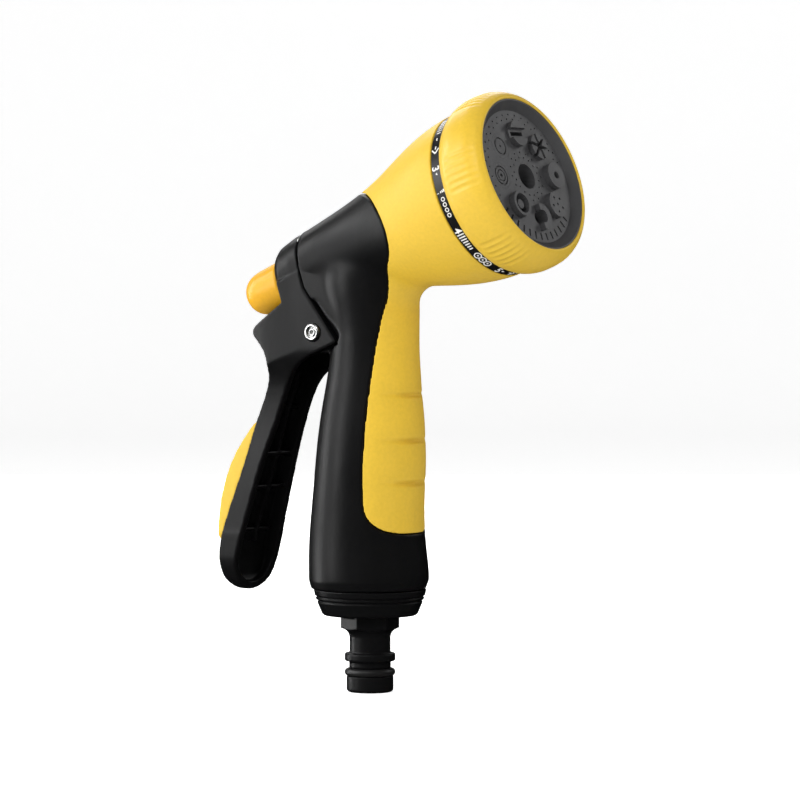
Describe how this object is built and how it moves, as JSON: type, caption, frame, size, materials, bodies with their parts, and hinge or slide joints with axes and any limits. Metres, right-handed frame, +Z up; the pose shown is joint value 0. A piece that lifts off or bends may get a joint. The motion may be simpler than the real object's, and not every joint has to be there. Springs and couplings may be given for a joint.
{
  "type": "hose spray nozzle",
  "caption": "Pistol-shaped garden hose nozzle with rear squeeze lever, rear flow knob, quick-connect nipple and turning multi-pattern spray head.",
  "frame": {"origin": "centre of the lower end of the hose nipple", "axes": "+Z up the handle from the hose end, +X to the side the water leaves, Y across; the spray direction rises 19.5 degrees from +X"},
  "size_m": [0.1255, 0.058, 0.1899],
  "materials": {
    "black_shell": "satin moulded ABS with a fine sparked grain",
    "black_inner": "plain moulded plastic, not textured",
    "yellow_cover": "soft over-moulded rubber, matte with a fine grain",
    "yellow_bezel": "semi-gloss moulded plastic",
    "orange_knob": "semi-gloss moulded plastic",
    "grey_plate": "matte moulded plastic, fine grain",
    "band_black": "smooth plastic with white pad-printed marks",
    "seal_rubber": "nitrile rubber",
    "steel": "polished stainless steel",
    "spring_steel": "drawn stainless wire",
    "brass": "turned brass",
    "filter_plastic": "natural nylon"
  },
  "bodies": {
    "body": {"body_shell": "black_shell", "front_grip": "yellow_cover", "base_collar": "black_shell", "hose_nipple": "black_shell", "nipple_o_ring": "seal_rubber", "nipple_washer": "seal_rubber", "inlet_filter": "filter_plastic", "valve_seat": "brass", "seat_o_ring": "seal_rubber", "gland_nut": "black_inner", "stem_o_ring": "seal_rubber", "gland_washer": "steel", "outlet_block": "black_inner", "outlet_seal": "seal_rubber", "detent_spring": "spring_steel", "head_washer": "steel", "head_screw": "steel", "pivot_rivet": "steel", "valve_spring": "spring_steel"},
    "lever": {"trigger_lever": "black_shell", "lever_pad": "yellow_cover"},
    "valve": {"valve_stem": "brass", "valve_disc": "seal_rubber", "disc_retainer": "brass", "spring_plate": "brass"},
    "knob": {"flow_knob": "orange_knob"},
    "head": {"pattern_plate": "grey_plate", "soak_insert": "grey_plate", "mist_insert": "grey_plate", "cone_insert": "grey_plate", "port_disc": "black_inner", "dial_bezel": "yellow_bezel", "index_ring": "band_black"},
    "detent": {"detent_ball": "steel"}
  },
  "joints": [
    {"name": "trigger_pivot", "type": "hinge", "parent": "body", "child": "lever", "pos_m": [-0.0129, 0, 0.1148], "axis": [0, -1, 0], "range_deg": [0, 12], "stiffness_Nm_per_rad": 0.35, "springref_deg": -22.92},
    {"name": "valve_slide", "type": "slide", "parent": "body", "child": "valve", "axis": [-0.9426, 0, -0.3338], "range_m": [0, 0.0058], "deforming": ["valve_spring"]},
    {"name": "knob_turn", "type": "hinge", "parent": "valve", "child": "knob", "pos_m": [-0.04119, 0, 0.12748], "axis": [-0.9426, 0, -0.3338], "range_deg": [0, 450]},
    {"name": "dial_turn", "type": "hinge", "parent": "body", "child": "head", "pos_m": [0.0625, 0, 0.1642], "axis": [0.9426, 0, 0.3338], "continuous": true},
    {"name": "detent_press", "type": "slide", "parent": "body", "child": "detent", "axis": [-0.9426, 0, -0.3338], "range_m": [0, 0.0006], "stiffness_N_per_m": 150, "springref_m": -0.002, "deforming": ["detent_spring"]}
  ],
  "couplings": [
    {"joint": "valve_slide", "follows": "trigger_pivot", "m_per_rad": 0.0275}
  ]
}
